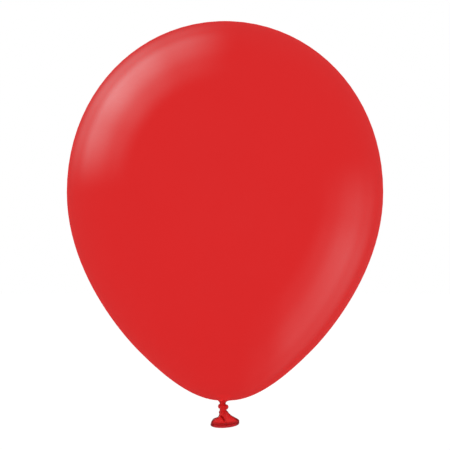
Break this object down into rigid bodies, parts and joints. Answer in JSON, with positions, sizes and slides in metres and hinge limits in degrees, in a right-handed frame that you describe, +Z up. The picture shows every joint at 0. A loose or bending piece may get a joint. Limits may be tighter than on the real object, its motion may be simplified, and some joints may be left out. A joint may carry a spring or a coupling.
{
  "type": "latex balloon",
  "caption": "Blown-up pear-shaped latex party balloon, tied in an overhand knot, with a flared tail and a rolled lip. Its envelope leans and twists on the neck and its tail flops.",
  "frame": {"origin": "middle of the tied neck, between the envelope and the knot, where a ribbon goes round it", "axes": "+Z up from the neck to the crown, the longest extent; +X to the right; -Y to the front"},
  "size_m": [0.305, 0.305, 0.3929],
  "materials": {
    "stretched_latex": "soft satin, smooth, tight and faintly translucent",
    "gathered_latex": "satin, finely pleated along the neck",
    "slack_latex": "matte satin, unstretched and opaque",
    "rolled_latex": "satin rolled bead, the darkest red"
  },
  "bodies": {
    "knot": {"knot_core": "gathered_latex", "knot_wrap": "gathered_latex"},
    "neck": {"neck_gather": "gathered_latex"},
    "throat": {"throat_collar": "gathered_latex"},
    "envelope": {"envelope": "stretched_latex"},
    "strand": {"tail_strand": "gathered_latex"},
    "tail": {"tail_skirt": "slack_latex", "rolled_lip": "rolled_latex"}
  },
  "joints": [
    {"name": "neck_twist", "type": "hinge", "parent": "knot", "child": "neck", "pos_m": [0, 0, 0], "axis": [0, 0, 1], "range_deg": [-90, 90], "stiffness_Nm_per_rad": 0.03},
    {"name": "neck_lean_side", "type": "hinge", "parent": "neck", "child": "throat", "pos_m": [0, 0, 0], "axis": [0, 1, 0], "range_deg": [-30, 30], "stiffness_Nm_per_rad": 0.05},
    {"name": "neck_lean_fore", "type": "hinge", "parent": "throat", "child": "envelope", "pos_m": [0, 0, 0], "axis": [1, 0, 0], "range_deg": [-30, 30], "stiffness_Nm_per_rad": 0.05},
    {"name": "tail_flop_side", "type": "hinge", "parent": "knot", "child": "strand", "pos_m": [0.0007, 0, -0.0084], "axis": [0, 1, 0], "range_deg": [-30, 30], "stiffness_Nm_per_rad": 0.0001},
    {"name": "tail_flop_fore", "type": "hinge", "parent": "strand", "child": "tail", "pos_m": [0.0007, 0, -0.0084], "axis": [1, 0, 0], "range_deg": [-30, 30], "stiffness_Nm_per_rad": 0.0001}
  ]
}
